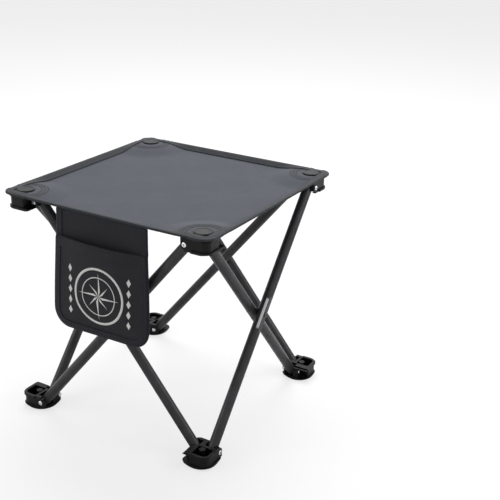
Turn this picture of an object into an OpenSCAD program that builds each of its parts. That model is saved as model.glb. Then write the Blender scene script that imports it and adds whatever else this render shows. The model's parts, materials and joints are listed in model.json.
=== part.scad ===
// Folding camp stool: four crossed pairs of tube legs between moulded corner hubs,
// a square fabric seat and a hanging side pocket.
// Frame: +Z up, origin on the ground under the middle of the seat, front towards -Y.
// Corners and sides are counted anticlockwise from the front right corner (seen from above).

/* [Frame] */
// Height of the seat fabric's upper face above the ground
seat_height = 347; // [320:1:420]
// Distance from the middle of the stool to each corner hub's centre, along X and Y
hub_span = 147; // [135:1:175]
// Outer diameter of the leg tubes
tube_d = 15; // [12:0.5:15]
// Wall of the leg tubes
tube_wall = 1.2; // [0.8:0.1:2]
// Half the distance between the two planes that a side's crossed legs lie in
leg_lane = 8; // [8:0.1:8.4]
// Depth of the pressed flats where two legs cross
flat_depth = 1; // [0.6:0.1:1.4]
// Length of the pressed flats along the leg
flat_len = 50; // [34:1:70]

/* [Corner hubs] */
// Side of the hub's square flanges
hub_w = 46; // [45:0.5:50]
// Height of the hub
hub_h = 22; // [21:0.5:26]
// Thickness of the hub's closed base plate
plate_t = 4; // [3:0.5:4.5]
// Thickness of the hub's open rim flange
rim_t = 3.5; // [2.5:0.5:4.5]
// Radius of the hub's outer corner
hub_corner_r = 12; // [9:0.5:14]
// Radius of the hub's other corners
hub_edge_r = 5; // [3:0.5:6]
// Set-back of the hub's waist behind its flanges
waist_inset = 2; // [1.5:0.5:2.5]
// Set-back of the rivet wall on the side of the inner leg
recess_depth = 15.5; // [13:0.5:16]
// Thickness of the hub's moulded walls
hub_wall = 2.6; // [2:0.2:3]
// Height of a leg's pivot above the hub's base plate face
pivot_h = 13; // [12.2:0.1:13.6]
// Distance of a leg's pivot from the hub's centre, along its side
pivot_inset = 14.5; // [14:0.1:15]
// Radius of the rounded ear round each pivot
ear_r = 6.5; // [5.5:0.1:7]
// Play between a leg and the slot it turns in
slot_play = 0.3; // [0.2:0.05:0.4]
// Outer radius of the boss that takes the cap's stem
boss_r = 4.6; // [4.2:0.1:5]

/* [Rivets] */
// Radius of a rivet's shank
rivet_r = 2.4; // [1.8:0.1:2.6]
// Radius of a hub rivet's head
rivet_head_r = 3.4; // [3.2:0.1:3.8]
// Thickness of a rivet's head
rivet_head_t = 1.3; // [1:0.1:1.4]
// Radius of the hollow in a tubular rivet's head
rivet_hollow_r = 1.4; // [1:0.1:1.6]
// Radial play between a rivet and the tube that turns on it
rivet_play = 0.06; // [0.03:0.01:0.09]
// Radius of the head of the rivet where two legs cross
cross_head_r = 4.2; // [3.6:0.1:5]
// Radius of the spacer between two crossed legs
spacer_r = 6.4; // [5.5:0.1:6.8]

/* [Seat] */
// Distance from the middle of the stool to the seat fabric's edges
seat_half = 173.5; // [171:0.5:176]
// Thickness of the seat fabric
seat_t = 1.5; // [1:0.1:2]
// Width of the border that stays level when the seat folds
border_w = 42.5; // [42:0.1:43]
// Radius of the seat's corners
seat_corner_r = 14; // [8:1:20]
// Gap between separate stretches of fabric
fabric_gap = 0.6; // [0.4:0.1:0.8]
// Radius of a corner cap
cap_r = 13; // [10:0.5:15]
// Height of a corner cap above the fabric
cap_t = 2.6; // [2:0.2:4]
// Set-back of the caps from the hubs' centres, outwards
cap_shift = 3; // [2.5:0.1:3.2]
// Radius of the stem that holds the cap in the hub's boss
stem_r = 2; // [1.6:0.1:2.4]

/* [Pocket] */
// Width of the pocket at its top
pocket_top_w = 154; // [130:1:170]
// Width of the pocket above its bottom corners
pocket_low_w = 164; // [140:1:180]
// Length of the pocket from the seat's hem to its bottom edge
pocket_drop = 176; // [150:1:200]
// Depth of the mouth edge below the seat's hem
mouth_drop = 42; // [30:1:55]
// Radius of the pocket's bottom corners
pocket_r = 28; // [18:1:36]
// Thickness of the pocket's fabric
pocket_t = 1.2; // [0.9:0.1:1.5]
// Room between the pocket's two panels
pocket_room = 6.2; // [5.4:0.1:6.8]
// Width of the tape that binds the pocket's edge
binding_w = 8; // [6:0.5:10]
// Thickness of the binding tape above the mouth
binding_t = 0.8; // [0.5:0.1:1]

/* [Hidden] */
$fn = 64;
eps = 0.01;
far = 100;
half_w = hub_w / 2;
tube_r = tube_d / 2;
plate_top = seat_height - seat_t;
pivot_span = hub_span - pivot_inset;
foot_pivot_z = pivot_h;
seat_pivot_z = plate_top - pivot_h;
rise = seat_pivot_z - foot_pivot_z;
cross_z = (seat_pivot_z + foot_pivot_z) / 2;
leg_angle = atan(2 * pivot_span / rise);
leg_pitch = sqrt(pow(2 * pivot_span, 2) + pow(rise, 2));
flat_r = tube_r - flat_depth;
slot_r = tube_r + slot_play;
slot_depth = tube_r + slot_play;
cheek_x = half_w - waist_inset;
recess_y = half_w - recess_depth;
inner_x = half_w - waist_inset;
cap_stem_len = 8;
spacer_play = 0.1;
border_in = seat_half - border_w;
gap = fabric_gap / 2;
cap_rim_t = 1;
cap_rim_w = 2.4;
pocket_gap = 0.3;
pocket_top = plate_top - pocket_gap;
tape_top = 4;

HUB_BLACK = "#121214";
TUBE_GREY = "#3a3a3e";
RIVET_SILVER = "#c4c6ca";
SEAT_BLUE = "#454952";
POCKET_BLACK = "#232327";
SPACER_GREY = "#2a2a2c";

// One corner's share of a round: what is left of a square outside its circle
module corner_waste(r) {
  difference() {
    square(r + 1);
    circle(r);
  }
}

// Rectangle from [x0, y0] to [x1, y1] with its corners rounded by [++, -+, --, +-]
module rounded(x0, y0, x1, y1, r) {
  difference() {
    translate([x0, y0]) square([x1 - x0, y1 - y0]);
    translate([x1 - r[0], y1 - r[0]]) corner_waste(r[0]);
    translate([x0 + r[1], y1 - r[1]]) rotate(90) corner_waste(r[1]);
    translate([x0 + r[2], y0 + r[2]]) rotate(180) corner_waste(r[2]);
    translate([x1 - r[3], y0 + r[3]]) rotate(270) corner_waste(r[3]);
  }
}

// A hub's flange, seen from above; its outer corner is at [+X, -Y]
module flange_plan() {
  rounded(-half_w, -half_w, half_w, half_w, [hub_edge_r, hub_edge_r, hub_edge_r, hub_corner_r]);
}

// Waist between the flanges: full on the outer leg's side, cut back on the inner leg's side
module waist_plan() {
  corner_r = hub_corner_r - waist_inset;
  rounded(-leg_lane, -inner_x, cheek_x, inner_x, [1, 1, 3, corner_r]);
  rounded(-inner_x, -recess_y, cheek_x, inner_x, [1, hub_edge_r + 4, 2, 1]);
}

// The hub's open cell behind its outer corner, with the boss for the cap's stem left standing
module cell_plan() {
  difference() {
    rounded(-leg_lane + hub_wall, -inner_x + hub_wall, cheek_x - hub_wall,
            pivot_inset - slot_r - 3 * hub_wall / 2, [2, 2, 1, hub_corner_r - waist_inset - hub_wall]);
    translate([cap_shift, -cap_shift]) circle(boss_r);
  }
}

// What is cut off beyond a pivot, so that only a round ear stays (pivot at the origin)
module beyond_ear_plan() {
  difference() {
    translate([0, -eps]) square([far, far]);
    circle(ear_r);
  }
}

// One moulded corner: base plate down, open rim up, outer leg's slot along Y, inner's along X
module hub_shape() {
  difference() {
    union() {
      intersection() {
        linear_extrude(plate_t) flange_plan();
        cylinder(h = 2 * plate_t, r1 = half_w - 1, r2 = half_w + 2.4 * plate_t);
      }
      translate([0, 0, plate_t - eps]) linear_extrude(hub_h - plate_t + eps) waist_plan();
      intersection() {
        translate([0, 0, hub_h - rim_t]) linear_extrude(rim_t) difference() {
          flange_plan();
          translate([-leg_lane, pivot_inset - slot_r - hub_wall]) square(far);
          translate([-far, -leg_lane + slot_play]) square([far - leg_lane, 2 * far]);
        }
        cylinder(h = hub_h, r1 = half_w + 2.4 * hub_h, r2 = half_w + 2.4);
      }
    }
    translate([0, 0, plate_t]) linear_extrude(far) cell_plan();
    translate([leg_lane - slot_r, pivot_inset - slot_r, pivot_h - slot_depth])
      cube([2 * slot_r, far, far]);
    translate([-far - pivot_inset + slot_r, leg_lane - slot_r, pivot_h - slot_depth])
      cube([far, 2 * slot_r, far]);
    translate([leg_lane, pivot_inset, pivot_h]) rotate([90, 0, 90])
      linear_extrude(far) beyond_ear_plan();
    translate([-pivot_inset, leg_lane, pivot_h]) rotate([90, 0, 0])
      linear_extrude(far) mirror([1, 0]) beyond_ear_plan();
    translate([-hub_wall - leg_lane / 4, pivot_inset, pivot_h]) rotate([0, 90, 0])
      cylinder(r = rivet_r, h = far);
    translate([-pivot_inset, -far / 2, pivot_h]) rotate([-90, 0, 0])
      cylinder(r = rivet_r, h = far);
    translate([cap_shift, -cap_shift, plate_t - far]) cylinder(r = stem_r, h = far + cap_stem_len);
  }
}

// Tubular rivet along +Z, its head's seat at z = 0 and its shank below
module rivet(len, head_r, tail_r, tail_t) {
  difference() {
    union() {
      cylinder(r = head_r, h = rivet_head_t * 0.6);
      translate([0, 0, rivet_head_t * 0.6])
        cylinder(r1 = head_r, r2 = head_r - 0.7, h = rivet_head_t * 0.4);
      translate([0, 0, -len]) cylinder(r = rivet_r, h = len + eps);
      if (tail_t > 0) translate([0, 0, -len - tail_t]) cylinder(r = tail_r, h = tail_t + eps);
    }
    translate([0, 0, -rivet_head_t]) cylinder(r = rivet_hollow_r, h = 3 * rivet_head_t);
  }
}

// The two rivets of one hub, in the hub's own frame
module rivet_pair() {
  translate([cheek_x, pivot_inset, pivot_h]) rotate([0, 90, 0])
    rivet(cheek_x + hub_wall + leg_lane / 4, rivet_head_r, 0, 0);
  translate([-pivot_inset, -recess_y, pivot_h]) rotate([90, 0, 0])
    rivet(recess_y + inner_x, rivet_head_r, rivet_head_r - 0.4, rivet_head_t);
}

// Thickness profile of a leg across its side, thinner by "skin" all round; along Y here
module press_profile(skin) {
  ramp = 2.5 * flat_depth;
  end = leg_pitch;
  polygon([
    [flat_r - skin, 0], [flat_r - skin, flat_len / 2], [tube_d, flat_len / 2 + ramp * tube_d],
    [tube_d, end], [-tube_d, end], [-tube_d, flat_len / 2 + ramp * tube_d],
    [-flat_r + skin, flat_len / 2], [-flat_r + skin, -flat_len / 2],
    [-tube_d, -flat_len / 2 - ramp * tube_d], [-tube_d, -end], [tube_d, -end],
    [tube_d, -flat_len / 2 - ramp * tube_d], [flat_r - skin, -flat_len / 2]
  ]);
}

// A straight round bar with the pressed flats, less "skin" all round
module pressed_bar(skin) {
  intersection() {
    translate([0, 0, -leg_pitch]) cylinder(r = tube_r - skin, h = 2 * leg_pitch);
    rotate([90, 0, 0]) translate([0, 0, -tube_d]) linear_extrude(2 * tube_d) press_profile(skin);
  }
}

// One leg along Z with its middle at the origin and its pivots along X
module leg_shape(cross_hole_r) {
  difference() {
    intersection() {
      pressed_bar(0);
      rotate([90, 0, 90]) translate([0, 0, -tube_d]) linear_extrude(2 * tube_d) {
        translate([-tube_r, -leg_pitch / 2]) square([tube_d, leg_pitch]);
        for (end = [-1, 1]) translate([0, end * leg_pitch / 2]) circle(tube_r);
      }
    }
    pressed_bar(tube_wall);
    for (end = [-1, 1]) translate([-tube_d, 0, end * leg_pitch / 2]) rotate([0, 90, 0])
      cylinder(r = rivet_r + rivet_play, h = 2 * tube_d);
    translate([-tube_d, 0, 0]) rotate([0, 90, 0]) cylinder(r = cross_hole_r, h = 2 * tube_d);
  }
}

// Puts a foot's frame at corner 1 to 4
module at_foot(corner) {
  rotate(90 * (corner - 1)) translate([hub_span, -hub_span, 0]) children();
}

// Puts a seat hub's frame, turned base plate up, at corner 1 to 4
module at_seat(corner) {
  rotate(90 * (corner - 2)) translate([hub_span, hub_span, plate_top]) rotate([180, 0, 0])
    children();
}

// Puts what is drawn on the right side at side 1 to 4
module at_side(side) {
  rotate(90 * (side - 1)) children();
}

module foot(corner) {
  color(HUB_BLACK) at_foot(corner) hub_shape();
}

module seat_hub(corner) {
  color(HUB_BLACK) at_seat(corner) hub_shape();
}

module foot_rivets(corner) {
  color(RIVET_SILVER) at_foot(corner) rivet_pair();
}

module hub_rivets(corner) {
  color(RIVET_SILVER) at_seat(corner) rivet_pair();
}

// The leg that runs from this side's first foot up to its second hub, in the outer plane
module outer_leg(side) {
  color(TUBE_GREY) at_side(side) translate([hub_span + leg_lane, 0, cross_z])
    rotate([-leg_angle, 0, 0]) leg_shape(rivet_r);
}

// The leg that runs from this side's second foot up to its first hub, in the inner plane
module inner_leg(side) {
  color(TUBE_GREY) at_side(side) translate([hub_span - leg_lane, 0, cross_z])
    rotate([leg_angle, 0, 0]) leg_shape(rivet_r + rivet_play);
}

module cross_rivet(side) {
  color(RIVET_SILVER) at_side(side)
    translate([hub_span + leg_lane + flat_r, 0, cross_z]) rotate([0, 90, 0])
      rivet(2 * leg_lane + 2 * flat_r + spacer_play, cross_head_r, cross_head_r, rivet_head_t);
}

module cross_spacer(side) {
  thick = 2 * leg_lane - 2 * flat_r - spacer_play;
  color(SPACER_GREY) at_side(side)
    translate([hub_span + leg_lane - flat_r - thick, 0, cross_z]) rotate([0, 90, 0])
      difference() {
        cylinder(r = spacer_r, h = thick);
        translate([0, 0, -1]) cylinder(r = rivet_r, h = thick + 2);
      }
}

// Low round cap on the fabric, with a raised rim, held by a stem in the hub's boss
module cap(corner) {
  color(HUB_BLACK) at_seat(corner) translate([cap_shift, -cap_shift, 0]) rotate([180, 0, 0]) {
    translate([0, 0, seat_t]) difference() {
      union() {
        cylinder(r = cap_r, h = cap_t - cap_rim_t);
        translate([0, 0, cap_t - cap_rim_t])
          cylinder(r1 = cap_r, r2 = cap_r - cap_rim_t, h = cap_rim_t);
      }
      translate([0, 0, cap_t - cap_rim_t / 2])
        cylinder(r1 = cap_r - cap_rim_w - cap_rim_t, r2 = cap_r - cap_rim_w, h = cap_rim_t / 2 + eps);
    }
    translate([0, 0, -cap_stem_len]) cylinder(r = stem_r, h = cap_stem_len + seat_t + eps);
  }
}

module seat_corner(corner) {
  color(SEAT_BLUE) at_side(corner - 1) translate([0, 0, plate_top]) difference() {
    linear_extrude(seat_t) rounded(border_in + gap, border_in + gap, seat_half, seat_half,
                                   [seat_corner_r, eps, eps, eps]);
    translate([hub_span + cap_shift, hub_span + cap_shift, -1])
      cylinder(r = stem_r, h = seat_t + 2);
  }
}

module seat_border(side) {
  color(SEAT_BLUE) at_side(side) translate([border_in + gap, -border_in + gap, plate_top])
    cube([border_w - gap, 2 * border_in - 2 * gap, seat_t]);
}

// A quarter of the seat between its border and the middle
module seat_gore(side) {
  edge = border_in - gap;
  color(SEAT_BLUE) at_side(side) translate([0, 0, plate_top]) linear_extrude(seat_t)
    polygon([[edge, -edge + 2 * gap], [edge, edge - 2 * gap], [2 * gap, 0]]);
}

// Outline of the pocket, seen from the front: X across, Y up, top edge's middle at the origin
module pocket_outline(inset, top) {
  low_x = pocket_low_w / 2;
  difference() {
    union() {
      polygon([
        [-pocket_top_w / 2 + inset, 0], [-low_x + inset, pocket_r - pocket_drop],
        [low_x - inset, pocket_r - pocket_drop], [pocket_top_w / 2 - inset, 0]
      ]);
      rounded(-low_x + inset, inset - pocket_drop, low_x - inset, pocket_r - pocket_drop + eps,
              [eps, eps, pocket_r - inset, pocket_r - inset]);
    }
    translate([-far, -top]) square([2 * far, top + 1]);
  }
}

// Places the pocket's outline in its upright plane, "depth" in front of the back panel's back
module at_pocket(depth) {
  translate([0, -seat_half + 2 * pocket_t + pocket_room - depth, pocket_top]) rotate([90, 0, 0])
    children();
}

module pocket_back() {
  color(POCKET_BLACK) at_pocket(0) linear_extrude(pocket_t) pocket_outline(binding_w, 0);
}

module pocket_front() {
  color(POCKET_BLACK) at_pocket(pocket_t + pocket_room) linear_extrude(pocket_t)
    pocket_outline(binding_w, mouth_drop);
}

// Tape round the sides and the bottom: it joins the two panels, and lies flat above the mouth
module pocket_binding() {
  color(POCKET_BLACK) {
    at_pocket(0) linear_extrude(2 * pocket_t + pocket_room) difference() {
      pocket_outline(0, mouth_drop);
      pocket_outline(binding_w, 0);
    }
    at_pocket(0) linear_extrude(pocket_t + binding_t) difference() {
      pocket_outline(0, tape_top);
      pocket_outline(binding_w, 0);
      translate([-far, -pocket_drop - 1]) square([2 * far, pocket_drop + 1 - mouth_drop - eps]);
    }
  }
}

foot(1);  // foot_front_right
foot(2);  // foot_back_right
foot(3);  // foot_back_left
foot(4);  // foot_front_left
seat_hub(1);  // seat_hub_front_right
seat_hub(2);  // seat_hub_back_right
seat_hub(3);  // seat_hub_back_left
seat_hub(4);  // seat_hub_front_left
foot_rivets(1);  // foot_rivets_front_right
foot_rivets(2);  // foot_rivets_back_right
foot_rivets(3);  // foot_rivets_back_left
foot_rivets(4);  // foot_rivets_front_left
hub_rivets(1);  // hub_rivets_front_right
hub_rivets(2);  // hub_rivets_back_right
hub_rivets(3);  // hub_rivets_back_left
hub_rivets(4);  // hub_rivets_front_left
outer_leg(1);  // outer_leg_right
outer_leg(2);  // outer_leg_back
outer_leg(3);  // outer_leg_left
outer_leg(4);  // outer_leg_front
inner_leg(1);  // inner_leg_right
inner_leg(2);  // inner_leg_back
inner_leg(3);  // inner_leg_left
inner_leg(4);  // inner_leg_front
cross_rivet(1);  // cross_rivet_right
cross_rivet(2);  // cross_rivet_back
cross_rivet(3);  // cross_rivet_left
cross_rivet(4);  // cross_rivet_front
cross_spacer(1);  // cross_spacer_right
cross_spacer(2);  // cross_spacer_back
cross_spacer(3);  // cross_spacer_left
cross_spacer(4);  // cross_spacer_front
cap(1);  // cap_front_right
cap(2);  // cap_back_right
cap(3);  // cap_back_left
cap(4);  // cap_front_left
seat_corner(1);  // seat_corner_front_right
seat_corner(2);  // seat_corner_back_right
seat_corner(3);  // seat_corner_back_left
seat_corner(4);  // seat_corner_front_left
seat_border(1);  // seat_border_right
seat_border(2);  // seat_border_back
seat_border(3);  // seat_border_left
seat_border(4);  // seat_border_front
seat_gore(1);  // seat_gore_right
seat_gore(2);  // seat_gore_back
seat_gore(3);  // seat_gore_left
seat_gore(4);  // seat_gore_front
pocket_back();
pocket_front();
pocket_binding();
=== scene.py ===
# %% [markdown]
# # A folding camp stool
# The stool has four crossed pairs of tube legs, eight alike black corner mouldings, a square
# of woven cloth held down by four round caps, and a flat pocket that hangs from the front hem.
# The construction is already there as solids. This file dresses it: every solid gets its real
# finish, and the cloth parts are made anew as cloth.

# %% Load the frame
import json
import math

import bpy
from mathutils import Matrix, Vector


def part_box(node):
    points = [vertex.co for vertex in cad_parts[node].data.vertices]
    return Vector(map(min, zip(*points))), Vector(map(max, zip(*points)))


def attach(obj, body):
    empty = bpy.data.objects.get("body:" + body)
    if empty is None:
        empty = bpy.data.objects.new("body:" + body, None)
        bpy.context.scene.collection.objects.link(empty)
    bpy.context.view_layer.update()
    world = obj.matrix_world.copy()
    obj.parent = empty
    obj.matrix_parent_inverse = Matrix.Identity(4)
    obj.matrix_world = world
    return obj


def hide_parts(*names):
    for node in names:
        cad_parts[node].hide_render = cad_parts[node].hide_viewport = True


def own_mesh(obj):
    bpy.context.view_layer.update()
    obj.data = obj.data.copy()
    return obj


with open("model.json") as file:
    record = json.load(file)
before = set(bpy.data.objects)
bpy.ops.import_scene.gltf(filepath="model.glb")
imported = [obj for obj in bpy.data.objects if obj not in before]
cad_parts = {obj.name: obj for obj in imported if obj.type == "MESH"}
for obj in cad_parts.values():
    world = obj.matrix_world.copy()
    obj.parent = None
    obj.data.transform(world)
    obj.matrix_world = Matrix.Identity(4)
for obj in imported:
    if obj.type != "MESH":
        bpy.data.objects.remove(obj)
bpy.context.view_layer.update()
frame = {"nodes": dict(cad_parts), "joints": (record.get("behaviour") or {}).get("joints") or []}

MM = 0.001
joints = {joint["name"]: joint for joint in frame["joints"]}

# %% [markdown]
# ## Sizes that everything else follows
# Nothing is placed by eye. The seat's edges, the caps and the hinge lines are read from the
# frame, so the cloth fits the frame even after the frame's own sizes change.

# %% Read the seat, the caps and the hinge lines
CORNERS = {"front_right": (1, -1), "back_right": (1, 1), "back_left": (-1, 1), "front_left": (-1, -1)}
SIDES = {"right": (1, 0), "back": (0, 1), "left": (-1, 0), "front": (0, -1)}
HUB_OF_SIDE = dict(zip(SIDES, CORNERS))
corner_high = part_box("seat_corner_back_right")[1]
cap_low, cap_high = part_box("cap_back_right")
SEAT_TOP = corner_high.z
SEAT_HALF = corner_high.x
BORDER_IN = abs(joints["seat_gore_front_drop"]["pos_m"][1])
CAP_AT = (cap_low.x + cap_high.x) / 2
print(f"seat {2 * SEAT_HALF:.3f} m square at {SEAT_TOP:.3f} m, caps {CAP_AT:.3f} m out")

# %% [markdown]
# When the stool folds, the four hubs move together and the cloth between them gathers. Here
# only the leg's lean is read, from its hinges at the foot and at the hub.

# %% Read the leg's lean from its hinges
foot_pin = Vector(joints["fold"]["pos_m"])
hub_pin = Vector(joints["outer_leg_right_top"]["pos_m"])
leg = hub_pin - foot_pin
LEAN = math.atan2(leg.y, leg.z)

# %% [markdown]
# ## Node trees in a few words
# A material is a graph of small steps. These helpers add one node, join two sockets and start
# a new material, so that each finish below reads as a list of effects.

# %% Helpers for node trees
def add_node(tree, kind, **settings):
    node = tree.nodes.new(kind)
    for name, value in settings.items():
        setattr(node, name, value)
    return node


def feed(tree, socket, value):
    if isinstance(value, bpy.types.NodeSocket):
        tree.links.new(value, socket)
    else:
        socket.default_value = value


def calc(tree, operation, a, b=0.0, clamp=False):
    node = add_node(tree, "ShaderNodeMath", operation=operation, use_clamp=clamp)
    feed(tree, node.inputs[0], a)
    feed(tree, node.inputs[1], b)
    return node.outputs[0]


def product(tree, first, *others):
    for other in others:
        first = calc(tree, "MULTIPLY", first, other)
    return first


def axes_of(tree, vector):
    split = add_node(tree, "ShaderNodeSeparateXYZ")
    feed(tree, split.inputs[0], vector)
    return split.outputs


def stretched(tree, vector, scales):
    node = add_node(tree, "ShaderNodeVectorMath", operation="MULTIPLY")
    feed(tree, node.inputs[0], vector)
    node.inputs[1].default_value = scales
    return node.outputs[0]


def body_place(tree):
    """The place of a point in its piece, which stays with it when the stool folds"""
    return add_node(tree, "ShaderNodeTexCoord").outputs["Object"]


def shade(colour, factor=1.0):
    return tuple(factor * c for c in colour) + (1.0,)


def blend_colours(tree, share, a, b):
    node = add_node(tree, "ShaderNodeMix", data_type="RGBA")
    feed(tree, node.inputs["Factor"], share)
    feed(tree, node.inputs[6], a)
    feed(tree, node.inputs[7], b)
    return node.outputs[2]


def noise(tree, vector, scale, detail=3.0, roughness=0.5):
    node = add_node(tree, "ShaderNodeTexNoise")
    feed(tree, node.inputs["Vector"], vector)
    node.inputs["Scale"].default_value = scale
    node.inputs["Detail"].default_value = detail
    node.inputs["Roughness"].default_value = roughness
    return node.outputs["Fac"]


def spread(tree, value, low, high, new_low=0.0, new_high=1.0):
    node = add_node(tree, "ShaderNodeMapRange", clamp=True)
    feed(tree, node.inputs["Value"], value)
    node.inputs["From Min"].default_value = low
    node.inputs["From Max"].default_value = high
    node.inputs["To Min"].default_value = new_low
    node.inputs["To Max"].default_value = new_high
    return node.outputs["Result"]


def bump(tree, height, distance, strength=1.0, normal=None):
    node = add_node(tree, "ShaderNodeBump")
    feed(tree, node.inputs["Height"], height)
    node.inputs["Distance"].default_value = distance
    node.inputs["Strength"].default_value = strength
    if normal is not None:
        tree.links.new(normal, node.inputs["Normal"])
    return node.outputs["Normal"]


def new_material(name, **constants):
    material = bpy.data.materials.new(name)
    material.use_nodes = True
    shader = material.node_tree.nodes["Principled BSDF"]
    for socket, value in constants.items():
        shader.inputs[socket.replace("_", " ")].default_value = value
    return material, material.node_tree, shader


def new_group(name, inputs, outputs):
    tree = bpy.data.node_groups.new(name, "ShaderNodeTree")
    for socket, (kind, value) in inputs.items():
        made = tree.interface.new_socket(socket, in_out="INPUT", socket_type=kind)
        if value is not None:
            made.default_value = value
    for socket, kind in outputs.items():
        tree.interface.new_socket(socket, in_out="OUTPUT", socket_type=kind)
    return tree, tree.nodes.new("NodeGroupInput").outputs, tree.nodes.new("NodeGroupOutput").inputs


def use_group(tree, group, **values):
    node = add_node(tree, "ShaderNodeGroup", node_tree=group)
    for socket, value in values.items():
        feed(tree, node.inputs[socket.replace("_", " ")], value)
    return node.outputs


# %% [markdown]
# ## Effects that several finishes share
# **Plain weave.** The cloth is a plain weave: warp threads pass over and under weft threads,
# one by one. Two sine waves give the round threads, and a checker of the two says which one is
# on top. Slow stretched noise makes some threads thicker and darker than their neighbours.
#
# **Moulded grain.** Black plastic parts come from a mould with a fine spark-eroded texture,
# so they are satin and never mirror-smooth.
#
# **Dust.** A little pale dust lies on faces that look up.

# %% Build the plain weave
FLOAT, VECTOR = "NodeSocketFloat", "NodeSocketVector"


def build_weave():
    tree, given, result = new_group(
        "plain weave",
        {"Place": (VECTOR, None), "Thread": (FLOAT, 0.0009), "Slub": (FLOAT, 0.5)},
        {"Height": FLOAT, "Tone": FLOAT},
    )
    threads, rounds = [], []
    for distance in axes_of(tree, given["Place"])[:2]:
        count = calc(tree, "DIVIDE", distance, given["Thread"])
        wave = calc(tree, "SINE", calc(tree, "MULTIPLY", count, math.pi))
        rounds.append(calc(tree, "ABSOLUTE", wave))
        threads.append(calc(tree, "FLOOR", count))
    parity = calc(tree, "MODULO", calc(tree, "ADD", *threads), 2.0)
    warp_up = calc(tree, "GREATER_THAN", calc(tree, "ABSOLUTE", parity), 0.5)
    warp = calc(tree, "MULTIPLY", rounds[0], warp_up)
    weft = calc(tree, "MULTIPLY", rounds[1], calc(tree, "SUBTRACT", 1.0, warp_up))
    feed(tree, result["Height"], calc(tree, "ADD", warp, weft))
    streaks = []
    for scales in ((700.0, 30.0, 1.0), (30.0, 700.0, 1.0)):
        streaks.append(noise(tree, stretched(tree, given["Place"], scales), 1.0, 2.0))
    mixed = calc(tree, "SUBTRACT", calc(tree, "ADD", *streaks), 1.0)
    feed(tree, result["Tone"], calc(tree, "MULTIPLY", mixed, given["Slub"]))
    return tree


WEAVE = build_weave()
print("plain weave:", len(WEAVE.nodes), "nodes")


# %% Build the moulded grain and the dust
def build_grain():
    tree, given, result = new_group(
        "moulded grain",
        {"Place": (VECTOR, None), "Size": (FLOAT, 1.0)},
        {"Height": FLOAT, "Tone": FLOAT},
    )
    place = add_node(tree, "ShaderNodeVectorMath", operation="SCALE")
    feed(tree, place.inputs[0], given["Place"])
    feed(tree, place.inputs["Scale"], given["Size"])
    feed(tree, result["Height"], noise(tree, place.outputs[0], 2600.0, 2.0))
    feed(tree, result["Tone"], noise(tree, place.outputs[0], 45.0, 4.0))
    return tree


def build_dust():
    tree, given, result = new_group(
        "dust",
        {"Place": (VECTOR, None), "Amount": (FLOAT, 0.2)},
        {"Share": FLOAT},
    )
    facing = add_node(tree, "ShaderNodeNewGeometry").outputs["Normal"]
    upward = spread(tree, axes_of(tree, facing)[2], 0.2, 1.0)
    patches = spread(tree, noise(tree, given["Place"], 38.0, 6.0, 0.65), 0.42, 0.75)
    specks = spread(tree, noise(tree, given["Place"], 900.0, 2.0), 0.62, 0.78)
    both = calc(tree, "ADD", calc(tree, "MULTIPLY", patches, 0.5), specks)
    settled = calc(tree, "MULTIPLY", both, upward)
    feed(tree, result["Share"], calc(tree, "MULTIPLY", settled, given["Amount"], clamp=True))
    return tree


GRAIN = build_grain()
DUST = build_dust()
DUST_COLOUR = (0.20, 0.19, 0.175, 1.0)
print("grain:", len(GRAIN.nodes), "nodes; dust:", len(DUST.nodes), "nodes")

# %% [markdown]
# ## Finishes
# The cloth is slate grey on the seat and nearly black on the pocket. Both are the same weave
# with other colours. Woven polyester has a faint sheen at grazing angles, which is why a
# taut seat looks lighter towards its far side.


# %% Woven cloth and tape
PATCH_ARCS = (22.5 * MM, 27.0 * MM, 31.5 * MM)


def sewn_arcs(tree, place):
    """1 on the sewn arcs round the four caps, and 0 elsewhere"""
    mirrored = add_node(tree, "ShaderNodeVectorMath", operation="ABSOLUTE")
    feed(tree, mirrored.inputs[0], place)
    from_cap = add_node(tree, "ShaderNodeVectorMath", operation="DISTANCE")
    feed(tree, from_cap.inputs[0], mirrored.outputs[0])
    from_cap.inputs[1].default_value = (CAP_AT, CAP_AT, 0.0)
    found = 0.0
    for arc in PATCH_ARCS:
        off = calc(tree, "ABSOLUTE", calc(tree, "SUBTRACT", from_cap.outputs["Value"], arc))
        found = calc(tree, "MAXIMUM", found, spread(tree, off, 0.8 * MM, 1.5 * MM, 1.0, 0.0))
    return found


def cloth_finish(name, colour, thread, slub, rough, sheen, ribs=0.0, arcs=False):
    material, tree, shader = new_material(
        name, Roughness=rough, Sheen_Weight=sheen, Sheen_Roughness=0.45, Specular_IOR_Level=0.18
    )
    place = add_node(tree, "ShaderNodeUVMap", uv_map="cloth").outputs[0]
    weave = use_group(tree, WEAVE, Place=place, Thread=thread, Slub=slub)
    # Painted shade in the weave: raised threads are coloured lighter and the gaps between them darker; the
    # slub streaks added to this are the yarn's own tone.
    thread_shade = spread(tree, weave["Height"], 0.1, 1.0, 0.15, 0.75)
    share = calc(tree, "ADD", thread_shade, weave["Tone"], clamp=True)
    woven = blend_colours(tree, share, shade(colour, 0.72), shade(colour, 1.14))
    if arcs:
        # Painted shade: the cloth is darkened in a narrow band along each sewn groove round the caps.
        groove_shade = calc(tree, "MULTIPLY", sewn_arcs(tree, place), 0.75)
        woven = blend_colours(tree, groove_shade, woven, (0.012, 0.013, 0.016, 1.0))
    body = body_place(tree)
    dust = use_group(tree, DUST, Place=body, Amount=0.10)
    feed(tree, shader.inputs["Base Color"], blend_colours(tree, dust["Share"], woven, DUST_COLOUR))
    height = weave["Height"]
    if ribs:
        wave = calc(tree, "SINE", calc(tree, "MULTIPLY", axes_of(tree, place)[1], 2 * math.pi / ribs))
        height = calc(tree, "ADD", height, calc(tree, "MULTIPLY", wave, 0.8))
    slow = noise(tree, body, 60.0, 3.0)
    soft = bump(tree, slow, 0.0012, 0.25)
    feed(tree, shader.inputs["Normal"], bump(tree, height, 0.00018, 0.5, soft))
    return material


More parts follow.
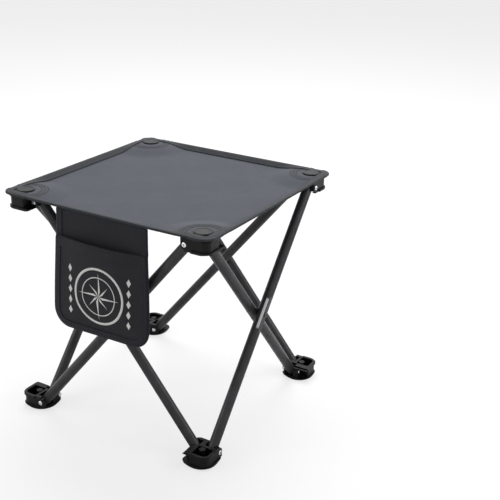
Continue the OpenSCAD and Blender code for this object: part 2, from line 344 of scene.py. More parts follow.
SEAT_CLOTH = cloth_finish("seat_cloth", (0.058, 0.065, 0.082), 0.0010, 0.5, 0.82, 0.12, arcs=True)
# Painted shade: the edge tape is coloured darker than the seat cloth, as the shade on the hem that leans
# towards the camera.
EDGE_TAPE = cloth_finish("seat_edge_tape", (0.024, 0.026, 0.031), 0.0008, 0.4, 0.7, 0.10, ribs=0.0021)
POCKET_CLOTH = cloth_finish("pocket_cloth", (0.0125, 0.0125, 0.0155), 0.0009, 0.5, 0.68, 0.05)
POCKET_TAPE = cloth_finish("pocket_tape", (0.0075, 0.0078, 0.0125), 0.0008, 0.4, 0.6, 0.06, ribs=0.0021)
print("cloth finishes: seat, edge tape, pocket, pocket tape")


# %% Thread and printed ink
def thread_finish(name, colour):
    material, tree, shader = new_material(name, Roughness=0.6, Sheen_Weight=0.2, Specular_IOR_Level=0.3)
    body = body_place(tree)
    twist = noise(tree, body, 2200.0, 1.0)
    coloured = blend_colours(tree, twist, shade(colour, 0.7), shade(colour, 1.3))
    feed(tree, shader.inputs["Base Color"], coloured)
    feed(tree, shader.inputs["Normal"], bump(tree, twist, 0.0001, 0.6))
    return material


def ink_finish():
    material, tree, shader = new_material("screen_ink", Roughness=0.5, Specular_IOR_Level=0.35)
    place = add_node(tree, "ShaderNodeUVMap", uv_map="cloth").outputs[0]
    weave = use_group(tree, WEAVE, Place=place, Thread=0.0009, Slub=0.5)
    worn = spread(tree, noise(tree, place, 420.0, 3.0), 0.62, 0.72, 0.0, 0.35)
    # The pale colour is the print's own; making it lighter on raised threads and darker in the gaps is
    # painted shade.
    ink_and_thread_shade = blend_colours(tree, weave["Height"], (0.50, 0.50, 0.49, 1.0), (0.62, 0.62, 0.60, 1.0))
    feed(tree, shader.inputs["Base Color"], blend_colours(tree, worn, ink_and_thread_shade, (0.10, 0.10, 0.11, 1.0)))
    feed(tree, shader.inputs["Normal"], bump(tree, weave["Height"], 0.00012, 0.4))
    return material


DARK_THREAD = thread_finish("dark_thread", (0.012, 0.012, 0.014))
GREY_THREAD = thread_finish("grey_thread", (0.05, 0.052, 0.06))
INK = ink_finish()
print("thread and ink ready")

# %% [markdown]
# Moulded black plastic: two tones of near black, a satin surface that is a little shinier
# where it has been rubbed, and a fine grain. Corners of moulded parts are never knife sharp,
# so a Bevel node rounds the shading along the edges by a fraction of a millimetre.


# %% Moulded plastic
def plastic_finish(name, colour, rough, dust_amount, edge):
    material, tree, shader = new_material(name, Specular_IOR_Level=0.16)
    body = body_place(tree)
    grain = use_group(tree, GRAIN, Place=body, Size=1.0)
    dust = use_group(tree, DUST, Place=body, Amount=dust_amount)
    mottled = spread(tree, grain["Tone"], 0.3, 0.7)
    tone = blend_colours(tree, mottled, shade(colour, 0.75), shade(colour, 1.35))
    feed(tree, shader.inputs["Base Color"], blend_colours(tree, dust["Share"], tone, DUST_COLOUR))
    worn = spread(tree, grain["Tone"], 0.3, 0.7, rough - 0.06, rough + 0.08)
    feed(tree, shader.inputs["Roughness"], worn)
    rounded = add_node(tree, "ShaderNodeBevel", samples=4)
    rounded.inputs["Radius"].default_value = edge
    feed(tree, shader.inputs["Normal"], bump(tree, grain["Height"], 0.00004, 0.5, rounded.outputs[0]))
    return material


HUB_PLASTIC = plastic_finish("hub_plastic", (0.0035, 0.0035, 0.0042), 0.42, 0.05, 0.6 * MM)
CAP_PLASTIC = plastic_finish("cap_plastic", (0.0085, 0.0085, 0.0095), 0.36, 0.05, 0.5 * MM)
SPACER_PLASTIC = plastic_finish("spacer_plastic", (0.016, 0.016, 0.017), 0.5, 0.0, 0.3 * MM)
print("plastic finishes: hubs, caps, spacers")

# %% [markdown]
# The tubes are aluminium with a dark satin coat. Drawing leaves fine lines along each tube, so
# the pattern has to lie along the leg. Every leg gets its own copy of the finish, in which a
# Mapping node turns and centres the pattern on that leg. The same frame also places a painted
# highlight: a narrow bright metallic strip on the right side's outer leg, where the legs cross.

# %% Coated tube, one copy for each leg
# Painted highlight: a narrow bright metallic strip is coloured onto one facet of the right side's outer leg,
# where the legs cross.
HIGHLIGHT_TURN = math.radians(57)
HIGHLIGHT_LEGS = {"outer_leg_right": 1.0}
COAT_DARK, COAT_LIGHT = (0.026, 0.026, 0.028, 1), (0.041, 0.041, 0.044, 1)
COAT_METALLIC = 0.35
COAT_LINES, PAINTED_HIGHLIGHT_COLOUR = (0.075, 0.075, 0.08, 1), (0.42, 0.42, 0.43, 1)
STRIP_FROM, STRIP_FULL = 7.15 * MM, 7.3 * MM
STRIP_HALF, STRIP_END = 21.5 * MM, 24.5 * MM


def leg_frame(name):
    """Middle of the leg, its direction and the outward direction of its side"""
    low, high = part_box(name)
    middle = (low + high) / 2
    side = name.rsplit("_", 1)[1]
    outward = Vector((*SIDES[side], 0.0))
    sideways = Vector((-outward.y, outward.x, 0.0))
    leaning = 1.0 if name.startswith("outer") else -1.0
    along = (math.cos(LEAN) * Vector((0, 0, 1)) + leaning * math.sin(LEAN) * sideways).normalized()
    return middle, along, outward


def tube_finish(name):
    middle, along, outward = leg_frame(name)
    material, tree, shader = new_material("coated_tube_" + name, Specular_IOR_Level=0.22)
    turn = Matrix((outward, along.cross(outward), along))
    mapping = add_node(tree, "ShaderNodeMapping", vector_type="POINT")
    mapping.inputs["Rotation"].default_value = turn.to_euler()
    mapping.inputs["Location"].default_value = -(turn @ middle)
    feed(tree, mapping.inputs["Vector"], body_place(tree))
    out, round_it, down_it = axes_of(tree, mapping.outputs[0])
    drawn = noise(tree, stretched(tree, mapping.outputs[0], (1800.0, 1800.0, 14.0)), 1.0, 3.0)
    mottled = noise(tree, mapping.outputs[0], 55.0, 4.0)
    coat = blend_colours(tree, spread(tree, mottled, 0.3, 0.7), COAT_DARK, COAT_LIGHT)
    coat = blend_colours(tree, spread(tree, drawn, 0.55, 0.8, 0.0, 0.5), coat, COAT_LINES)
    # Painted highlight: the bright strip is blended into the coat's colour and made more metallic.
    outward_share = calc(tree, "MULTIPLY", out, math.cos(HIGHLIGHT_TURN))
    round_share = calc(tree, "MULTIPLY", round_it, math.sin(HIGHLIGHT_TURN))
    towards_highlight = calc(tree, "SUBTRACT", outward_share, round_share)
    strip = spread(tree, towards_highlight, STRIP_FROM, STRIP_FULL, 0.0, HIGHLIGHT_LEGS.get(name, 0.0))
    near_cross = spread(tree, calc(tree, "ABSOLUTE", down_it), STRIP_HALF, STRIP_END, 1.0, 0.0)
    painted_highlight = product(tree, strip, near_cross, spread(tree, drawn, 0.25, 0.6, 0.65, 1.0))
    feed(tree, shader.inputs["Base Color"], blend_colours(tree, painted_highlight, coat, PAINTED_HIGHLIGHT_COLOUR))
    feed(tree, shader.inputs["Roughness"], spread(tree, drawn, 0.2, 0.8, 0.30, 0.46))
    highlight_metallic = calc(tree, "MULTIPLY", painted_highlight, 0.5)
    feed(tree, shader.inputs["Metallic"], calc(tree, "ADD", highlight_metallic, COAT_METALLIC, clamp=True))
    feed(tree, shader.inputs["Normal"], bump(tree, drawn, 0.00003, 0.35))
    return material


# %% [markdown]
# Rivets are plated steel. The plating is bright, so it is nearly a mirror with a few fine
# scratches, and the roll marks on the head make the reflection uneven.


# %% Plated rivets
def rivet_finish(name, dark, light, metallic):
    material, tree, shader = new_material(name, Metallic=metallic, Specular_IOR_Level=0.3)
    body = body_place(tree)
    cloudy = noise(tree, body, 600.0, 4.0)
    fine = noise(tree, body, 4000.0, 2.0)
    feed(tree, shader.inputs["Base Color"], blend_colours(tree, cloudy, dark, light))
    feed(tree, shader.inputs["Roughness"], spread(tree, cloudy, 0.3, 0.7, 0.16, 0.34))
    feed(tree, shader.inputs["Normal"], bump(tree, fine, 0.00002, 0.5))
    return material


RIVET_PLATING = rivet_finish("rivet_plating", (0.55, 0.56, 0.58, 1), (0.86, 0.87, 0.88, 1), 1.0)
RIVET_COATED = rivet_finish("rivet_coated", (0.03, 0.03, 0.032, 1), (0.06, 0.06, 0.063, 1), 0.4)


# %% Dress the solids that keep their own shape
def dress(node, material):
    mesh = frame["nodes"][node].data
    mesh.materials.clear()
    mesh.materials.append(material)


for corner in CORNERS:
    dress("foot_" + corner, HUB_PLASTIC)
    dress("seat_hub_" + corner, HUB_PLASTIC)
    dress("cap_" + corner, CAP_PLASTIC)
    dress("foot_rivets_" + corner, RIVET_PLATING)
    dress("hub_rivets_" + corner, RIVET_PLATING)
for side in SIDES:
    for leg_name in ("outer_leg_" + side, "inner_leg_" + side):
        dress(leg_name, tube_finish(leg_name))
    dress("cross_rivet_" + side, RIVET_COATED)
    dress("cross_spacer_" + side, SPACER_PLASTIC)
print("solids dressed; tube finishes:", sum(m.name.startswith("coated_tube") for m in bpy.data.materials))

# %% [markdown]
# ## The shape of the seat cloth
# The cloth is clamped flat on the four hubs and hangs a little between them. Its hem is the
# strongest line: it runs straight from hub to hub and stands up like a low wall, while the
# panel inside sags. One formula gives the height everywhere, and all pieces of cloth, tape and
# stitching read it, so they always fit each other.

# %% A formula for the cloth's height
CLOTH_T = 1.3 * MM
HEM_W = 10.5 * MM
HEM_DROP = 5.6 * MM
PANEL_SAG = 3.2 * MM
RIPPLE = 0.35 * MM
CLAMPED_R, FREE_R = 24 * MM, 66 * MM
PATCH_R, PATCH_STEP = 34.0 * MM, 0.35 * MM
GROOVE_DEPTH, GROOVE_HALF = 0.7 * MM, 1.0 * MM
SEAT_CORNER_R = 14 * MM


def smooth(low, high, value):
    t = min(1.0, max(0.0, (value - low) / (high - low)))
    return t * t * (3 - 2 * t)


def cloth_height(x, y):
    edge = SEAT_HALF - max(abs(x), abs(y))
    from_cap = math.hypot(abs(x) - CAP_AT, abs(y) - CAP_AT)
    free = smooth(CLAMPED_R, FREE_R, from_cap)
    hang = HEM_DROP * smooth(0.0, 1.25 * HEM_W, edge)
    sag = PANEL_SAG * (1 - (x / SEAT_HALF) ** 2) * (1 - (y / SEAT_HALF) ** 2)
    waves = math.sin(x / (23 * MM) + 1.3) * math.sin(y / (19 * MM))
    ripple = RIPPLE * waves * smooth(HEM_W, 3 * HEM_W, edge)
    height = SEAT_TOP - free * (hang + sag) + free * ripple
    if from_cap < 1.3 * PATCH_R:
        height += PATCH_STEP * smooth(PATCH_R + 0.7 * MM, PATCH_R - 0.7 * MM, from_cap)
        for arc in PATCH_ARCS:
            height -= GROOVE_DEPTH * math.exp(-(((from_cap - arc) / GROOVE_HALF) ** 2))
    return height


def cloth_point(x, y, lift=0.0):
    """A point on the cloth's upper face, lifted along the cloth's own normal"""
    step = 0.4 * MM
    across = (cloth_height(x + step, y) - cloth_height(x - step, y)) / (2 * step)
    along = (cloth_height(x, y + step) - cloth_height(x, y - step)) / (2 * step)
    return Vector((x, y, cloth_height(x, y))) + Vector((-across, -along, 1.0)).normalized() * lift


print(f"the cloth lies {(SEAT_TOP - cloth_height(0, 0)) / MM:.1f} mm lower in the middle than on the hubs")


# %% [markdown]
# ## Helpers for meshes
# Each piece is a plain mesh in the frame's own coordinates, with its place in its points. The
# UV map called "cloth" holds distances along the cloth in metres, so the weave has its real
# size and stays with the cloth when the stool folds.


# %% Make a piece from points and faces
def make_piece(name, points, faces, material, uv=None, thick=0.0, smooth_below=50.0):
    mesh = bpy.data.meshes.new(name)
    mesh.from_pydata([tuple(p) for p in points], [], faces)
    mesh.materials.append(material)
    if uv is not None:
        layer = mesh.uv_layers.new(name="cloth")
        for loop in mesh.loops:
            layer.data[loop.index].uv = uv[loop.vertex_index]
    piece = bpy.data.objects.new(name, mesh)
    bpy.context.scene.collection.objects.link(piece)
    if thick:
        shell = piece.modifiers.new("thickness", "SOLIDIFY")
        shell.thickness = thick
        shell.offset = -1.0
        piece = settle(piece)
    piece.data.polygons.foreach_set("use_smooth", [True] * len(piece.data.polygons))
    piece.data.set_sharp_from_angle(angle=math.radians(smooth_below))
    return piece


def settle(piece):
    """The same piece with its modifiers worked into a plain mesh"""
    view = bpy.context.evaluated_depsgraph_get()
    mesh = bpy.data.meshes.new_from_object(piece.evaluated_get(view), depsgraph=view)
    name, old = piece.name, piece.data
    piece.modifiers.clear()
    piece.data = mesh
    bpy.data.meshes.remove(old)
    mesh.name = name
    return piece


# %% [markdown]
# ## The seat panel
# On the real stool this is one square of cloth. Here it is cut where it has to follow
# different parts of the frame: four corners ride on the hubs, four borders ride on one hub
# each, and four triangles drop down in the middle. A single grid of points covers the whole
# square, so the cuts are invisible while the stool is open.

# %% Lay out the grid lines, close together near the edges
PANEL_HALF = SEAT_HALF - 1.2 * MM
FINE_FROM = 114 * MM
COARSE, FINE = 3.0 * MM, 0.85 * MM


def lines_between(low, high, step):
    count = max(1, round((high - low) / step))
    return [low + (high - low) * i / count for i in range(count)]


half_lines = (
    lines_between(0.0, FINE_FROM, COARSE)
    + lines_between(FINE_FROM, BORDER_IN, FINE)
    + lines_between(BORDER_IN, PANEL_HALF, FINE)
    + [PANEL_HALF]
)
GRID = [-v for v in reversed(half_lines[1:])] + half_lines
print("grid lines each way:", len(GRID))


# %% Sort the grid's cells into the twelve pieces
def cell_owner(x, y):
    far_x, far_y = abs(x) > BORDER_IN, abs(y) > BORDER_IN
    if far_x and far_y:
        return "corner_" + ("back" if y > 0 else "front") + ("_right" if x > 0 else "_left")
    if far_x or (not far_y and abs(x) > abs(y)):
        side = "right" if x > 0 else "left"
    else:
        side = "back" if y > 0 else "front"
    return ("border_" if far_x or far_y else "gore_") + side


def split_cells():
    cells = {}
    for i in range(len(GRID) - 1):
        for j in range(len(GRID) - 1):
            a, b, c, d = (i, j), (i + 1, j), (i + 1, j + 1), (i, j + 1)
            x, y = (GRID[i] + GRID[i + 1]) / 2, (GRID[j] + GRID[j + 1]) / 2
            if abs(x) < BORDER_IN and abs(abs(x) - abs(y)) < 1e-7:
                halves = [(a, b, c), (a, c, d)] if x * y > 0 else [(a, b, d), (b, c, d)]
                for half in halves:
                    mid_x = sum(GRID[p[0]] for p in half) / 3
                    mid_y = sum(GRID[p[1]] for p in half) / 3
                    cells.setdefault(cell_owner(mid_x, mid_y), []).append(half)
            else:
                cells.setdefault(cell_owner(x, y), []).append((a, b, c, d))
    return cells


def rounded_place(x, y):
    """Moves a grid point so that the square's corner becomes a round one"""
    radius = SEAT_CORNER_R - (SEAT_HALF - PANEL_HALF)
    start = PANEL_HALF - radius
    dx, dy = abs(x) - start, abs(y) - start
    if dx <= 0 or dy <= 0:
        return x, y
    pull = max(dx, dy) / math.hypot(dx, dy)
    return math.copysign(start + dx * pull, x), math.copysign(start + dy * pull, y)


seat_cells = split_cells()
print("cells:", {name: len(cells) for name, cells in sorted(seat_cells.items())})


# %% Build the twelve pieces of the panel
def seat_piece(owner):
    number, points, uv, faces = {}, [], [], []
    for cell in seat_cells[owner]:
        face = []
        for key in cell:
            if key not in number:
                number[key] = len(points)
                x, y = rounded_place(GRID[key[0]], GRID[key[1]])
                points.append(Vector((x, y, cloth_height(x, y))))
                uv.append((x, y))
            face.append(number[key])
        faces.append(face)
    return make_piece("seat_cloth_" + owner, points, faces, SEAT_CLOTH, uv, CLOTH_T)


seat_pieces = {owner: seat_piece(owner) for owner in sorted(seat_cells)}
print("panel pieces:", len(seat_pieces), "faces:", sum(len(p.data.polygons) for p in seat_pieces.values()))

# %% [markdown]
# ## The tape round the seat's edge
# A ribbed tape is folded over the raw edge and sewn down. It is made as a ribbon: a path along
# the edge, and at each step a profile that comes in over the top, turns round the edge and
# goes back underneath.

# %% Walk round the seat's edge
TAPE_T = 0.7 * MM
TAPE_STEP = 2.5 * MM


def front_edge(xs):
    return [(Vector((x, -SEAT_HALF)), Vector((0.0, 1.0))) for x in xs]


def edge_path(start, end, corner):
    """Places and inward directions along the front side, or round the front right corner"""
    if not corner:
        count = round((end - start) / TAPE_STEP)
        xs = [start + (end - start) * i / count for i in range(count + 1)]
        return front_edge(xs)
    centre = SEAT_HALF - SEAT_CORNER_R
    leg_in = front_edge(lines_between(start, centre, TAPE_STEP))
    turn = []
    for i in range(13):
        angle = math.radians(-90 + 90 * i / 12)
        out = Vector((math.cos(angle), math.sin(angle)))
        turn.append((Vector((centre, -centre)) + out * SEAT_CORNER_R, -out))
    leg_out = [(Vector((-p.y, -p.x)), Vector((-1.0, 0.0))) for p, _ in reversed(leg_in)]
    return leg_in + turn + leg_out


def quarter_turn(point, turns):
    x, y, z = point
    for _ in range(turns):
        x, y = -y, x
    return Vector((x, y, z))


def tape_profile():
    """Distance in from the edge, and which face: lift above the cloth's top or below its bottom"""
    ins = [HEM_W * (1 - i / 7) for i in range(7)]
    top = [(max(d, 0.4 * MM), TAPE_T) for d in ins]
    nose = [(-0.15 * MM, 0.45 * MM), (-0.4 * MM, -0.5 * CLOTH_T), (-0.15 * MM, -CLOTH_T - 0.45 * MM)]
    under = [(d, -CLOTH_T - TAPE_T) for d, _ in reversed(top)]
    return top + nose + under


def ribbon_faces(rows, columns):
    faces = []
    for i in range(rows - 1):
        for j in range(columns - 1):
            a = i * columns + j
            faces.append((a, a + 1, a + columns + 1, a + columns))
    return faces


def edge_tape(name, path, turns):
    profile = tape_profile()
    lengths = [0.0]
    for (p, _), (q, _) in zip(path, path[1:]):
        lengths.append(lengths[-1] + (q - p).length)
    around = [0.0]
    for (d, h), (e, g) in zip(profile, profile[1:]):
        around.append(around[-1] + math.hypot(e - d, g - h))
    points, uv = [], []
    for (place, inward), far in zip(path, lengths):
        for (depth, lift), wrap in zip(profile, around):
            at = place + inward * depth
            over = place + inward * max(depth, 1.3 * MM)
            point = cloth_point(over.x, over.y, lift)
            points.append(quarter_turn((at.x, at.y, point.z), turns))
            uv.append((far, wrap))
    faces = ribbon_faces(len(path), len(profile))
    return make_piece(name, points, [f[::-1] for f in faces], EDGE_TAPE, uv, TAPE_T, 60.0)


# %% Fold the tape over each border and corner
TURNS = {"front": 0, "right": 1, "back": 2, "left": 3}
border_path = edge_path(-BORDER_IN, BORDER_IN, False)
corner_path = edge_path(BORDER_IN, 0.0, True)
EDGE_PATHS = {side: (border_path, turns) for side, turns in TURNS.items()}
EDGE_PATHS.update({corner: (corner_path, turns) for turns, corner in enumerate(CORNERS)})
edge_tapes = {}
for place, (path, turns) in EDGE_PATHS.items():
    edge_tapes[place] = edge_tape("edge_tape_" + place, path, turns)
print("edge tape pieces:", len(edge_tapes))

# %% [markdown]
# ## Stitching
# A sewing machine leaves a row of short threads, each a few millimetres long, that dip into
# the cloth at both ends. Placing hundreds by hand makes no sense, so Geometry Nodes does it: it
# takes a line along the seam, marks it off in stitches and puts one small spindle on each mark.


# %% Build the stitch maker
def build_stitcher():
    tree = bpy.data.node_groups.new("row of stitches", "GeometryNodeTree")
    sockets = {}
    tree.interface.new_socket("Geometry", in_out="INPUT", socket_type="NodeSocketGeometry")
    for name, value in (("Pitch", 3.6 * MM), ("Length", 2.9 * MM), ("Thickness", 0.55 * MM)):
        made = tree.interface.new_socket(name, in_out="INPUT", socket_type=FLOAT)
        made.default_value = value
        sockets[name] = made.identifier
    made = tree.interface.new_socket("Thread", in_out="INPUT", socket_type="NodeSocketMaterial")
    sockets["Thread"] = made.identifier
    tree.interface.new_socket("Geometry", in_out="OUTPUT", socket_type="NodeSocketGeometry")
    given = add_node(tree, "NodeGroupInput").outputs
    result = add_node(tree, "NodeGroupOutput").inputs
    line = add_node(tree, "GeometryNodeMeshToCurve")
    feed(tree, line.inputs["Mesh"], given["Geometry"])
    marks = add_node(tree, "GeometryNodeResampleCurve", mode="LENGTH")
    feed(tree, marks.inputs["Curve"], line.outputs["Curve"])
    feed(tree, marks.inputs["Length"], given["Pitch"])
    spindle = add_node(tree, "GeometryNodeMeshUVSphere")
    spindle.inputs["Segments"].default_value = 6
    spindle.inputs["Rings"].default_value = 5
    spindle.inputs["Radius"].default_value = 0.5
    size = add_node(tree, "ShaderNodeCombineXYZ")
    for socket, source in (("X", "Thickness"), ("Y", "Thickness"), ("Z", "Length")):
        feed(tree, size.inputs[socket], given[source])
    tangent = add_node(tree, "GeometryNodeInputTangent")
    turn = add_node(tree, "FunctionNodeAlignRotationToVector", axis="Z")
    feed(tree, turn.inputs["Vector"], tangent.outputs[0])
    place = add_node(tree, "GeometryNodeInstanceOnPoints")
    feed(tree, place.inputs["Points"], marks.outputs["Curve"])
    feed(tree, place.inputs["Instance"], spindle.outputs["Mesh"])
    feed(tree, place.inputs["Rotation"], turn.outputs["Rotation"])
    feed(tree, place.inputs["Scale"], size.outputs[0])
    real = add_node(tree, "GeometryNodeRealizeInstances")
    feed(tree, real.inputs[0], place.outputs[0])
    thread = add_node(tree, "GeometryNodeSetMaterial")
    feed(tree, thread.inputs["Geometry"], real.outputs[0])
    feed(tree, thread.inputs["Material"], given["Thread"])
    feed(tree, result["Geometry"], thread.outputs[0])
    return tree, sockets


STITCHER, STITCH_SOCKETS = build_stitcher()


def stitch_rows(name, rows, material, pitch=3.6 * MM, length=2.9 * MM, thickness=0.55 * MM):
    points, edges = [], []
    for row in rows:
        edges += [(len(points) + i, len(points) + i + 1) for i in range(len(row) - 1)]
        points += [tuple(p) for p in row]
    mesh = bpy.data.meshes.new(name)
    mesh.from_pydata(points, edges, [])
    piece = bpy.data.objects.new(name, mesh)
    bpy.context.scene.collection.objects.link(piece)
    sewing = piece.modifiers.new("stitches", "NODES")
    sewing.node_group = STITCHER
    settings = {"Pitch": pitch, "Length": length, "Thickness": thickness, "Thread": material}
    for socket, value in settings.items():
        sewing[STITCH_SOCKETS[socket]] = value
    piece = settle(piece)
    piece.data.polygons.foreach_set("use_smooth", [True] * len(piece.data.polygons))
    return piece


print("stitch maker:", len(STITCHER.nodes), "nodes")

# %% [markdown]
# The edge tape is held by one row of stitches near its inner edge, and each corner patch by
# three curved rows. A row that runs from a corner into a border is cut where the cloth is cut.


# %% Sew the seat
def tape_row(path, turns):
    row = []
    for place, inward in path:
        at = place + inward * (HEM_W - 1.8 * MM)
        row.append(quarter_turn(cloth_point(at.x, at.y, TAPE_T + 0.05 * MM), turns))
    return row


def patch_rows(turns):
    """The three curved rows of the front right patch, sorted by the piece of cloth they lie on"""
    rows = {}
    reach = SEAT_HALF - HEM_W - 0.5 * MM
    for arc in PATCH_ARCS:
        row, owner = [], None
        for i in range(181):
            angle = math.radians(45 + i)
            x = CAP_AT + arc * math.cos(angle)
            y = -CAP_AT + arc * math.sin(angle)
            if x > reach or y < -reach:
                continue
            now = cell_owner(x, y)
            if now != owner and len(row) > 1:
                rows.setdefault(owner, []).append(row)
            if now != owner:
                row = row[-1:] if row else []
            owner = now
            row.append(cloth_point(x, y, 0.1 * MM))
        if len(row) > 1:
            rows.setdefault(owner, []).append(row)
    turned = {}
    for owner, found in rows.items():
        turned[owner] = [[quarter_turn(p, turns) for p in row] for row in found]
    return turned


def turned_owner(owner, turns):
    kind, _, place = owner.partition("_")
    ring = list(CORNERS if kind == "corner" else SIDES)
    return kind + "_" + ring[(ring.index(place) + turns) % len(ring)]


patch_seams = {}
for turns in range(4):
    for owner, rows in patch_rows(turns).items():
        patch_seams.setdefault(turned_owner(owner, turns), []).extend(rows)
seat_stitches = {}
for owner, rows in sorted(patch_seams.items()):
    seam = "patch_stitches_" + owner
    seat_stitches[owner] = stitch_rows(seam, rows, DARK_THREAD, 3.0 * MM, 2.5 * MM, 0.8 * MM)
hem_stitches = {}
for place, (path, turns) in EDGE_PATHS.items():
    hem_stitches[place] = stitch_rows("hem_stitches_" + place, [tape_row(path, turns)], GREY_THREAD)
print("stitched seams:", len(seat_stitches) + len(hem_stitches))

# %% [markdown]
# ## The pocket
# The pocket is a back panel sewn to the hem, a shorter front panel whose top edge is the mouth,
# and a tape round the sides and the bottom that joins the two. It is empty, so the panels
# lie close together at the sides and part a little in the middle. Its lower end stands
# slightly away from the legs.

# %% The pocket's outline and depth
binding_low, binding_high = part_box("pocket_binding")
front_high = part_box("pocket_front")[1]
POCKET_TOP = binding_high.z + 1.5 * MM
POCKET_DROP = POCKET_TOP - binding_low.z
MOUTH = POCKET_TOP - front_high.z
POCKET_HALF = binding_high.x
POCKET_NARROW = 5 * MM
POCKET_R = 28 * MM
POCKET_T = 1.0 * MM
POCKET_TAPE_W = 10.5 * MM
BACK_Y = -SEAT_HALF + 3.0 * MM
OUTWARD_TILT = 8.0 * MM


def pocket_half(down):
    """Half the pocket's width at a distance below the hem: it widens a little downwards"""
    return POCKET_HALF - POCKET_NARROW * (1 - smooth(0.0, POCKET_DROP - POCKET_R, down))


def pocket_place(across, down):
    """Rounds the two lower corners; across runs from -1 to 1"""
    half = pocket_half(down)
    x = across * half
    dx, dy = abs(x) - (half - POCKET_R), down - (POCKET_DROP - POCKET_R)
    if dx <= 0 or dy <= 0:
        return x, down
    pull = max(dx, dy) / math.hypot(dx, dy)
    return math.copysign(half - POCKET_R + dx * pull, x), POCKET_DROP - POCKET_R + dy * pull


def back_depth(x, down):
    """The back panel's front face, as a Y coordinate"""
    lean = OUTWARD_TILT * (max(down, 0.0) / POCKET_DROP) ** 1.3
    wave = 0.5 * MM * math.sin(x / (26 * MM)) * smooth(20 * MM, 90 * MM, down)
    return BACK_Y - lean + wave


def inset(x, down):
    """Distance in from the pocket's outline, near enough for shaping"""
    half = pocket_half(down)
    dx, dy = abs(x) - (half - POCKET_R), down - (POCKET_DROP - POCKET_R)
    if dx > 0 and dy > 0:
        return POCKET_R - math.hypot(dx, dy)
    return min(half - abs(x), POCKET_DROP - down)


def front_depth(x, down):
    """The front panel's outer face"""
    rise = smooth(0.0, 60 * MM, inset(x, down))
    near_mouth = math.exp(-(((down - MOUTH) / (34 * MM)) ** 2))
    mouth_gape = 3.4 * MM * near_mouth * math.cos(x / POCKET_HALF * math.pi / 2) ** 2
    belly = 4.4 * MM * rise
    crease = 0.5 * MM * math.sin(x / (31 * MM) + down / (44 * MM) + 0.6) * rise
    return back_depth(x, down) - 2.2 * MM - belly - mouth_gape + crease


def pocket_point(x, down, depth, lift=0.0):
    """A point of the pocket; lift is measured outwards along the face's own normal"""
    step = 0.5 * MM
    slope_x = (depth(x + step, down) - depth(x - step, down)) / (2 * step)
    slope_z = -(depth(x, down + step) - depth(x, down - step)) / (2 * step)
    outward = Vector((slope_x, -1.0, slope_z)).normalized()
    return Vector((x, depth(x, down), POCKET_TOP - down)) + outward * lift


print(f"pocket {2 * POCKET_HALF:.3f} m wide and {POCKET_DROP:.3f} m deep, mouth {MOUTH:.3f} m down")


# %% The two panels
def pocket_panel(name, first, depth, material, thick):
    columns, rows = 57, 61
    points, uv = [], []
    for j in range(rows):
        down = first + (POCKET_DROP - 1.0 * MM - first) * j / (rows - 1)
        for i in range(columns):
            x, low = pocket_place(0.985 * (-1 + 2 * i / (columns - 1)), down)
            points.append(pocket_point(x, low, depth))
            uv.append((x, low))
    faces = ribbon_faces(rows, columns)
    return make_piece(name, points, [f[::-1] for f in faces], material, uv, thick)


pocket_back = pocket_panel("pocket_back_cloth", 0.0, back_depth, POCKET_CLOTH, POCKET_T)
pocket_front = pocket_panel("pocket_front_cloth", MOUTH, front_depth, POCKET_CLOTH, POCKET_T)


# %% The mouth's hem, folded outwards and sewn
def mouth_hem():
    width, columns = 14 * MM, 57
    points, uv = [], []
    outside = [(width, 0.55 * MM), (width * 0.66, 0.65 * MM), (width * 0.33, 0.7 * MM), (0.4 * MM, 0.7 * MM)]
    fold = [(-0.5 * MM, 0.2 * MM), (-0.6 * MM, -0.6 * POCKET_T), (-0.3 * MM, -1.4 * POCKET_T)]
    profile = outside + fold + [(3 * MM, -1.5 * POCKET_T)]
    for i in range(columns):
        across = 0.97 * (-1 + 2 * i / (columns - 1))
        for below, lift in profile:
            down = MOUTH + max(below, 0.0)
            point = pocket_point(across * pocket_half(down), down, front_depth, lift)
            point.z -= min(below, 0.0)
            points.append(point)
            uv.append((point.x, down))
    faces = ribbon_faces(columns, len(profile))
    return make_piece("pocket_mouth_hem", points, faces, POCKET_CLOTH, uv, 0.5 * MM, 60.0)


pocket_hem = mouth_hem()
print("pocket panels and mouth hem made")

# %% [markdown]
# The tape's path starts at the hem on one side, goes down, round both lower corners and up
# the other side. Above the mouth it lies on the back panel alone, and below it on both.


# %% The pocket's tape
def outline_path():
    """Places on the outline and their inward directions, from the left top round to the right top"""
    left = []
    for down in lines_between(1.0 * MM, POCKET_DROP - POCKET_R, 3 * MM):
        left.append((Vector((-pocket_half(down), down)), Vector((1.0, 0.0))))
    bottom_half = pocket_half(POCKET_DROP - POCKET_R)
    centre = Vector((-(bottom_half - POCKET_R), POCKET_DROP - POCKET_R))
    turn = []
    for i in range(15):
        angle = math.radians(180 - 90 * i / 14)
        out = Vector((math.cos(angle), math.sin(angle)))
        turn.append((centre + out * POCKET_R, -out))
    bottom = lines_between(centre.x, 0.0, 4 * MM)[1:]
    level = [(Vector((x, POCKET_DROP)), Vector((0.0, -1.0))) for x in bottom]
    half = left + turn + level
    other = [(Vector((-p.x, p.y)), Vector((-n.x, n.y))) for p, n in reversed(half)]
    return half + other


def layer_face(down):
    """How far the outer face stands in front of the back panel at the tape, stepping at the mouth"""
    return smooth(MOUTH - 3 * MM, MOUTH + 3 * MM, down)


